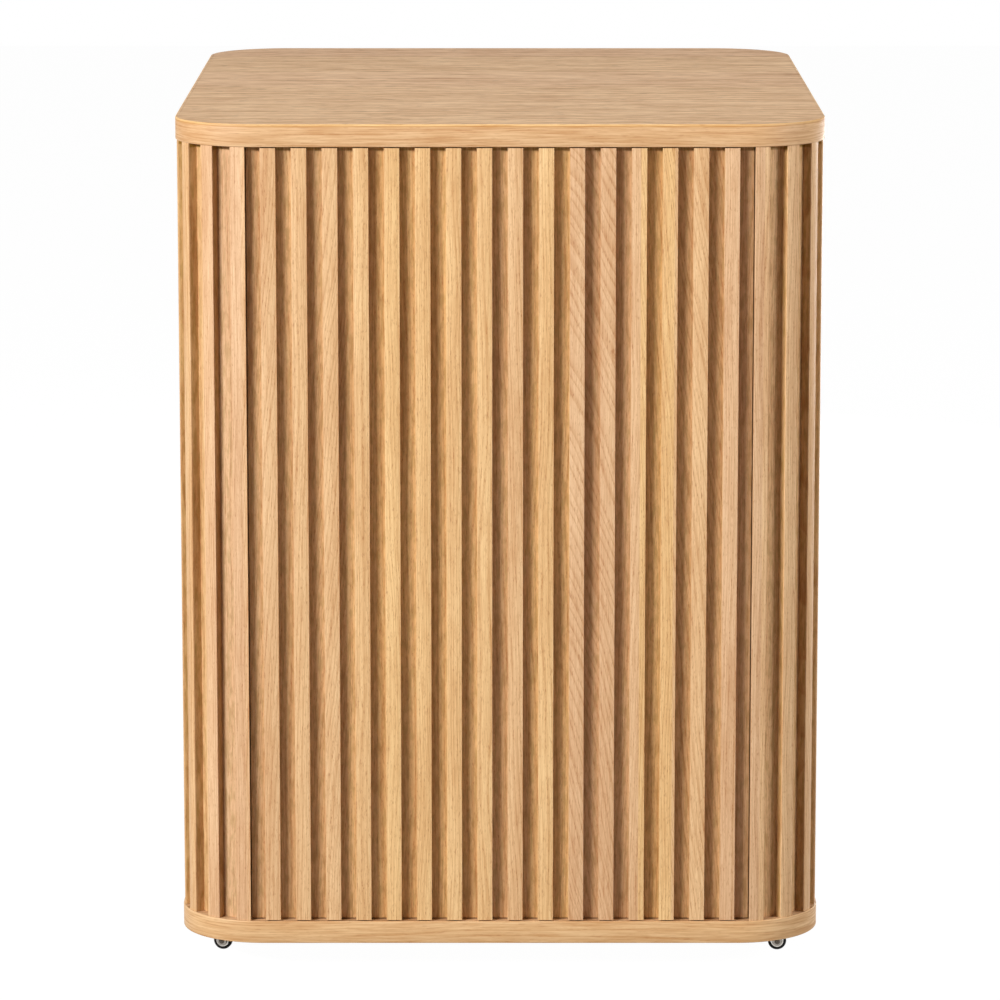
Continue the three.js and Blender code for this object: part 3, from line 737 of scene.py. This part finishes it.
# Moulded acetal: grey and slightly waxy
acetal = mouldedMaterial(
    "mouldedAcetal", pale="#75787B", dark="#6B6E72", grainSize=0.6 * mm, roughness=0.48, ior=1.48,
)
print("materials made:", len(bpy.data.materials))


# Top and base plates: veneered cores, and a band wrapped round each edge
plateLook = {
    "bandThickness": 2 * mm,
    "arrisRadius": 0.6 * mm,
    "cornerSteps": 24,
}


def roundedBlock(name, low, high, radius, steps):
    piece = block(name, low, high)
    startEdit(piece, "EDGE")
    selectWhere(piece, "edges", isUpright)
    bpy.ops.mesh.bevel(offset=radius, segments=steps, profile=0.5, affect="EDGES")
    endEdit()
    return piece


def buildPlate(name, panelNode, bandNode):
    radius, steps = casePlan["cornerRadius"], plateLook["cornerSteps"]
    low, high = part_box(bandNode)
    coreLow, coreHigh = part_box(panelNode)
    core = roundedBlock(name + "Panel", coreLow, coreHigh, radius - (high.x - coreHigh.x), steps)
    fit(core, "case", "oak_veneer", [veneer], panelNode)

    band = roundedBlock(name + "EdgeBand", low, high, radius, steps)
    roundCorners(band, plateLook["arrisRadius"], 3)
    startEdit(band)
    selectWhere(band, "faces", isLevel)
    bpy.ops.mesh.inset(thickness=plateLook["bandThickness"] - plateLook["arrisRadius"])
    bpy.ops.mesh.delete(type="FACE")
    selectWhere(band, "edges", lambda edge: edge.is_boundary)
    bpy.ops.mesh.bridge_edge_loops()
    bpy.ops.mesh.select_all(action="SELECT")
    bpy.ops.mesh.normals_make_consistent(inside=False)
    endEdit()
    writeGrain(band, wrappedBand)
    fit(band, "case", "oak_edge", [edgeOak, veneer], bandNode)
    for face in band.data.polygons:
        face.material_index = int(isLevel(face))


buildPlate("top", "top_panel", "top_edge_band")
buildPlate("base", "base_panel", "base_edge_band")
print("plates made")


# Fluted boards: a thick board, with slats left standing between milled grooves
fluteLook = {
    "slatWidth": 10.83 * mm,
    "frontSlats": 16,
    "frontPitch": 21.66 * mm,
    "sideSlats": 21,
    "sidePitch": 21.197 * mm,
    "arrisRadius": 0.45 * mm,
    "seamRadius": 1.2 * mm,
    "slack": 0.2 * mm,  # for telling the slats' faces and the grooves' floors apart
}


def isSlatArris(edge):
    out = min(roundTheCase(vertex.co)[1] for vertex in edge.verts)
    atFace = out > casePlan["grooveDepth"] - fluteLook["slack"]
    return atFace and isUpright(edge) and isOutwardCorner(edge)


def isEndArris(edge):
    out = max(abs(roundTheCase(vertex.co)[1]) for vertex in edge.verts)
    return out < fluteLook["slack"] and isUpright(edge) and isOutwardCorner(edge)


def flutedBoard(name, node, out, count, pitch, body, endRadius=0):
    low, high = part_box(node)
    out = Vector(out)
    along = Vector((abs(out.y), abs(out.x), 0))
    depth = casePlan["grooveDepth"]
    for axis in range(3):
        if out[axis] > 0:
            high[axis] -= depth
        if out[axis] < 0:
            low[axis] += depth
    board = block(name, low, high)
    half = fluteLook["slatWidth"] / 2
    middles = [(number - (count - 1) / 2) * pitch for number in range(count)]
    startEdit(board)
    for middle in middles:
        for edgePlace in (middle - half, middle + half):
            bpy.ops.mesh.select_all(action="SELECT")
            bpy.ops.mesh.bisect(plane_co=along * edgePlace, plane_no=along)

    def onSlat(face):
        place = face.calc_center_median().dot(along)
        facesOut = face.normal.dot(out) > modelling["levelShare"]
        return facesOut and any(abs(place - middle) < half for middle in middles)

    selectWhere(board, "faces", onSlat)
    bpy.ops.mesh.extrude_region_move(TRANSFORM_OT_translate={"value": out * depth})
    endEdit()
    roundCorners(board, fluteLook["arrisRadius"], 2, isSlatArris)
    if endRadius:
        roundCorners(board, endRadius, 3, isEndArris)
    writeGrain(board, uprightFluted)
    fit(board, body, "fluted_oak", [flutedOak], node)


flutedBoard(
    "pullOutFront", "front_panel", (0, -1, 0), fluteLook["frontSlats"], fluteLook["frontPitch"], "drawer",
    fluteLook["seamRadius"],
)
flutedBoard("backBoard", "back_panel", (0, 1, 0), fluteLook["frontSlats"], fluteLook["frontPitch"], "case")
for side, sign in sides.items():
    flutedBoard(
        side + "SideBoard", "side_panel_" + side, (sign, 0, 0),
        fluteLook["sideSlats"], fluteLook["sidePitch"], "case",
    )
    for end in ends:
        node = "corner_post_" + end + "_" + side
        post = copyOf(node, end + side.title() + "Post")
        roundCorners(post, fluteLook["arrisRadius"], 2, isSlatArris)
        writeGrain(post, uprightFluted)
        fit(post, "case", "fluted_oak", [flutedOak], node)
print("fluted boards and posts made")


# Boards inside: plywood with eased edges. The axes are those across, through and along each board.
boardLook = {"edgeRadius": 0.8 * mm}
boards = {
    "inner_side": ((1, 0, 2), "case"),
    "drawer_side": ((2, 0, 1), "drawer"),
    "drawer_inner_front": ((2, 1, 0), "drawer"),
    "drawer_back": ((2, 1, 0), "drawer"),
    "drawer_bottom": ((0, 2, 1), "drawer"),
    "tray_bottom": ((0, 2, 1), "tray"),
    "tray_divider_long": ((2, 1, 0), "tray"),
    "tray_divider_left": ((2, 0, 1), "tray"),
    "tray_divider_right": ((2, 0, 1), "tray"),
}


def camel(words):
    first, *rest = words.split("_")
    return first + "".join(word.title() for word in rest)


def easedBoard(node, body, grain):
    board = copyOf(node, camel(node))
    roundCorners(board, boardLook["edgeRadius"])
    writeGrain(board, grain(board))
    fit(board, body, "birch_ply", [birchPly], node)


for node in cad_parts:
    kind = node if node in boards else node.rpartition("_")[0]
    if kind in boards:
        axes, body = boards[kind]
        easedBoard(node, body, lambda board: boardGrain(board, *axes))
easedBoard("tray_frame", "tray", frameGrain)
print("inner boards made")


# Rails: folded steel runners and extruded profiles, with their edges broken
railLook = {"edgeRadius": 0.25 * mm}
rails = {
    "runner_case_rail": ("case", "zinc_steel", zincSteel),
    "runner_middle_rail": ("runner_middle", "zinc_steel", zincSteel),
    "runner_drawer_rail": ("drawer", "zinc_steel", zincSteel),
    "file_rail": ("drawer", "aluminium_profile", aluminium),
    "tray_runner": ("drawer", "aluminium_profile", aluminium),
    "runner_clip": ("drawer", "grey_plastic", acetal),
}
for side in sides:
    for kind, (body, slot, material) in rails.items():
        rail = copyOf(kind + "_" + side, camel(kind) + side.title())
        roundCorners(rail, railLook["edgeRadius"])
        if body == "runner_middle":
            body += "_" + side
        fit(rail, body, slot, [material], kind + "_" + side)
print("rails made")


# Screws: pan heads with a cross recess
screwLook = {
    "headHeight": 1.3 * mm,
    "domeShares": ((1, 0), (1, 0.35), (0.86, 0.75), (0.55, 0.96)),  # of its radius and height
    "recessLengthShare": 0.5,
    "recessWidth": 0.7 * mm,
    "recessDepth": 0.8 * mm,
    "sides": 20,
    "castorHead": 2.4 * mm,
    "runnerHead": 3.6 * mm,
    "frontHead": 3.8 * mm,
}


def screwHead(radius):
    height = screwLook["headHeight"]
    dome = [(radius * across, height * up) for across, up in screwLook["domeShares"]]
    head = turnedPiece("screwHead", [(0, 0), *dome, (0, height)], screwLook["sides"])
    reach, half = radius * screwLook["recessLengthShare"], screwLook["recessWidth"] / 2
    floor = height - screwLook["recessDepth"]
    for halfX, halfY in ((reach, half), (half, reach)):
        cutter = block("recessCutter", (-halfX, -halfY, floor), (halfX, halfY, 2 * height))
        applyModifier(head, "BOOLEAN", operation="DIFFERENCE", object=cutter, solver="EXACT")
        bpy.data.objects.remove(cutter)
    return head


# Copies of the head stand on the points, and look along the direction
def placeScrews(name, radius, points, direction, body):
    head = screwHead(radius)
    turn = Vector((0, 0, 1)).rotation_difference(Vector(direction)).to_matrix().to_4x4()
    copies = [
        placedCopy(head, name + str(number), Matrix.Translation(point) @ turn)
        for number, point in enumerate(points)
    ]
    bpy.data.objects.remove(head)
    fit(joinAll(name, copies), body, "zinc_steel", [zincSteel])


def spread(low, high, count, inset):
    first, last = low + inset, high - inset
    return [first + (last - first) * number / (count - 1) for number in range(count)]


# The screws stand over the model's holes
holeLook = {
    "rowInset": 45 * mm,
    "flangeEdge": 6 * mm,
    "castorInset": 4 * mm,
    "sheet": 1.5 * mm,
    "wall": 12 * mm,
}
for side, sign in sides.items():
    low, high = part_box("runner_case_rail_" + side)
    wall = sign * (max(abs(low.x), abs(high.x)) - holeLook["sheet"])
    row = spread(low.y, high.y, 3, holeLook["rowInset"])
    points = [Vector((wall, y, high.z - holeLook["flangeEdge"])) for y in row]
    placeScrews("runnerScrews" + side.title(), screwLook["runnerHead"], points, (-sign, 0, 0), "case")
low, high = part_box("drawer_inner_front")
columns = spread(low.x, high.x, 2, holeLook["wall"] + holeLook["rowInset"])
rows = spread(low.z, high.z, 3, holeLook["rowInset"])
points = [Vector((x, high.y, z)) for x in columns for z in rows]
placeScrews("frontScrews", screwLook["frontHead"], points, (0, 1, 0), "drawer")
print("screws made")


# Push latch: a moulded housing with a sprung plunger, and a steel strike on the drawer
latchLook = {"edgeRadius": 0.5 * mm}
for node, body, slot, material in (
    ("latch_housing", "case", "grey_plastic", acetal),
    ("latch_plunger", "latch_plunger", "plunger_rubber", rubber),
    ("latch_strike", "drawer", "zinc_steel", zincSteel),
):
    piece = copyOf(node, camel(node))
    roundCorners(piece, latchLook["edgeRadius"])
    fit(piece, body, slot, [material], node)
print("latch made")


# Castors: the turned parts are made once, round the z axis, and stood up at each wheel
castorLook = {
    "tyreWidth": 6 * mm,
    "tyreShoulder": 1.3 * mm,
    "tyreRoundShare": 0.45,
    "tyreCorner": math.radians(30),
    "tyreBore": 4.9 * mm,
    "hubRadius": 4.6 * mm,
    "hubWidth": 5.2 * mm,
    "rimDepth": 1 * mm,
    "webWidth": 3 * mm,
    "bossRadius": 2.6 * mm,
    "bossWidth": 6.4 * mm,
    "bore": 1.5 * mm,
    "axleRadius": 1.2 * mm,
    "axleHead": 2 * mm,
    "axleHeadStart": 4.7 * mm,
    "axleHeadHeight": 0.7 * mm,
    "axleDomeShares": ((1, 0), (0.9, 0.4), (0.6, 0.85)),  # of its head's radius and height
    "steps": 48,
    "edgeRadius": 0.2 * mm,
}


# The middle of a wheel, and the way it trails behind its pivot
def castorLayout(place):
    plateLow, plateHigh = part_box("castor_plate_" + place)
    hubLow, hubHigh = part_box("castor_hub_" + place)
    wheel = (hubLow + hubHigh) / 2
    trail = wheel - (plateLow + plateHigh) / 2
    return wheel, math.atan2(trail.y, trail.x)


def tyrePiece(radius):
    look = castorLook
    half, bore = look["tyreWidth"] / 2, look["tyreBore"]
    shoulder = look["tyreShoulder"]
    tyre = turnedPiece("tyre", [
        (bore, -half), (radius - shoulder, -half), (radius, -half + shoulder),
        (radius, half - shoulder), (radius - shoulder, half), (bore, half), (bore, -half),
    ], look["steps"])
    roundCorners(
        tyre, shoulder * look["tyreRoundShare"], 3,
        lambda edge: isOutwardCorner(edge, look["tyreCorner"]),
    )
    return tyre


def hubPiece():
    look = castorLook
    half, web, boss = look["hubWidth"] / 2, look["webWidth"] / 2, look["bossWidth"] / 2
    rimInner = look["hubRadius"] - look["rimDepth"]
    profile = [
        (look["bore"], -boss), (look["bossRadius"], -boss), (look["bossRadius"], -web), (rimInner, -web),
        (rimInner, -half), (look["hubRadius"], -half),
    ]
    profile += [(radius, -height) for radius, height in reversed(profile)]
    profile.append(profile[0])
    hub = turnedPiece("hub", profile, look["steps"])
    roundCorners(hub, look["edgeRadius"])
    # The dish inside the rim takes the darker nickel, which paints its shade
    for face in hub.data.polygons:
        face.material_index = int(face.center.xy.length < rimInner)
    return hub


def axlePiece():
    look = castorLook
    start, height = look["axleHeadStart"], look["axleHeadHeight"]
    dome = [(look["axleHead"] * across, start + up * height) for across, up in look["axleDomeShares"]]
    half = [(look["axleRadius"], start), *dome, (0, start + height)]
    profile = [(radius, -out) for radius, out in reversed(half)] + half
    return turnedPiece("axle", profile, look["steps"] // 2)


wheelRadius = castorLayout("front_right")[0].z
parts = {"tyre": tyrePiece(wheelRadius), "hub": hubPiece(), "axle": axlePiece()}
for end in ends:
    for side in sides:
        place = end + "_" + side
        tag = end.title() + side.title()
        wheel, turn = castorLayout(place)
        upended = Matrix.Rotation(turn, 4, "Z") @ Matrix.Rotation(math.pi / 2, 4, "X")
        for kind, slot, materials in (
            ("tyre", "tyre_rubber", [rubber]),
            ("hub", "hub_metal", [polishedSteel, dishShadeNickel]),
            # The hub's dish and the axle heads take the darker nickel that paints the dish's shade
            ("axle", "zinc_steel", [dishShadeNickel]),
        ):
            piece = placedCopy(parts[kind], kind + tag, Matrix.Translation(wheel) @ upended)
            fit(piece, "castor_wheel_" + place, slot, materials, "castor_" + kind + "_" + place)
        fork = copyOf("castor_fork_" + place, "fork" + tag)
        roundCorners(fork, castorLook["edgeRadius"])
        fit(fork, "castor_swivel_" + place, "castor_steel", [satinNickel], "castor_fork_" + place)
        plate = copyOf("castor_plate_" + place, "castorPlate" + tag)
        roundCorners(plate, castorLook["edgeRadius"])
        fit(plate, "case", "castor_steel", [satinNickel], "castor_plate_" + place)
        low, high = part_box("castor_plate_" + place)
        underPlate = high.z - holeLook["sheet"]
        points = [
            Vector((x, y, underPlate))
            for x in spread(low.x, high.x, 2, holeLook["castorInset"])
            for y in spread(low.y, high.y, 2, holeLook["castorInset"])
        ]
        placeScrews("castorScrews" + tag, screwLook["castorHead"], points, (0, 0, -1), "case")
for piece in parts.values():
    bpy.data.objects.remove(piece)
print("castors made")


# Studio: pale floor, white behind. A wide, low soft light stands to the left and a weaker one far
# to the right, so that the grooves hold their shade while both corners stay lit. Two weak lights
# above and behind lift the top and the back.
studio = {
    "aim": Vector((0, -0.29, 0.33)),
    "floorSize": 14,
    "floorColor": "#8E8E8E",
    "shownWhite": 0.82,
    "shownGlow": 1.2,
    "worldLight": 0.03,
    "worldGloss": 0.35,
    "key": {"turn": -48, "rise": 23, "distance": 3.6, "width": 1.5, "height": 0.35, "power": 143},
    "fill": {"turn": 68, "rise": 20, "distance": 2.6, "width": 0.8, "height": 0.5, "power": 37},
    "overhead": {"turn": 180, "rise": 80, "distance": 2.2, "width": 1.4, "height": 1.4, "power": 22},
    "rear": {"turn": 153, "rise": -1, "distance": 2.4, "width": 1.6, "height": 0.45, "power": 18},
}


# Stands a soft light round the aim: turned from the front, raised from level, in degrees
def softLight(name, look):
    turn, rise = math.radians(look["turn"]), math.radians(look["rise"])
    away = Vector((math.sin(turn) * math.cos(rise), -math.cos(turn) * math.cos(rise), math.sin(rise)))
    bpy.ops.object.select_all(action="DESELECT")
    bpy.ops.object.light_add(type="AREA", location=studio["aim"] + away * look["distance"])
    lamp = bpy.context.object
    lamp.name = name
    lamp.data.shape = "RECTANGLE"
    lamp.data.size = look["width"]
    lamp.data.size_y = look["height"]
    lamp.data.energy = look["power"]
    lamp.rotation_euler = away.to_track_quat("Z", "Y").to_euler()


# The backdrop's strength: one for the camera, one for glosses and one for the light it gives
def backdropStrength(material, camera, gloss, light):
    path = addNode(material, "LightPath")
    seen = addNode(material, "Math", [path.outputs["Is Camera Ray"], camera], operation="MULTIPLY")
    mirrored = addNode(material, "Math", [path.outputs["Is Glossy Ray"], gloss], operation="MULTIPLY")
    shown = addNode(material, "Math", [seen, mirrored], operation="MAXIMUM")
    return addNode(material, "Math", [shown, light], operation="MAXIMUM")


bpy.ops.object.select_all(action="DESELECT")
bpy.ops.mesh.primitive_plane_add(size=studio["floorSize"])
floor = bpy.context.object
floor.name = "floor"
floorPaint = newMaterial("paleFloor")
matt = addNode(floorPaint, "BsdfDiffuse", {"Color": hexColor(studio["floorColor"])})
glow = addNode(floorPaint, "Emission", {"Color": hexColor("#FFFFFF"), "Strength": studio["shownGlow"]})
share = backdropStrength(floorPaint, studio["shownWhite"], studio["shownWhite"], 0)
both = addNode(floorPaint, "MixShader", [share, matt, glow])
addNode(floorPaint, "OutputMaterial", {"Surface": both})
floor.data.materials.append(floorPaint)

world = bpy.data.worlds.new("studioWorld")
bpy.context.scene.world = world
world.use_nodes = True
world.node_tree.nodes.clear()
strength = backdropStrength(world, 1, studio["worldGloss"], studio["worldLight"])
backdrop = addNode(world, "Background", {"Color": hexColor("#FFFFFF"), "Strength": strength})
addNode(world, "OutputWorld", {"Surface": backdrop})

softLight("keyLight", studio["key"])
softLight("fillLight", studio["fill"])
softLight("overheadLight", studio["overhead"])
softLight("rearLight", studio["rear"])

view = {
    "place": (0, -3.8864, 0.9928),
    "tiltDown": math.radians(10.227),
    "lens": 186.32,
    "sensor": 36,
    "reach": 50,
}
bpy.ops.object.select_all(action="DESELECT")
bpy.ops.object.camera_add(location=view["place"], rotation=(math.pi / 2 - view["tiltDown"], 0, 0))
camera = bpy.context.object
camera.name = "camera"
camera.data.lens = view["lens"]
camera.data.sensor_width = view["sensor"]
camera.data.clip_end = view["reach"]
bpy.context.scene.camera = camera
bpy.context.scene.view_settings.view_transform = "Standard"
print("studio made")
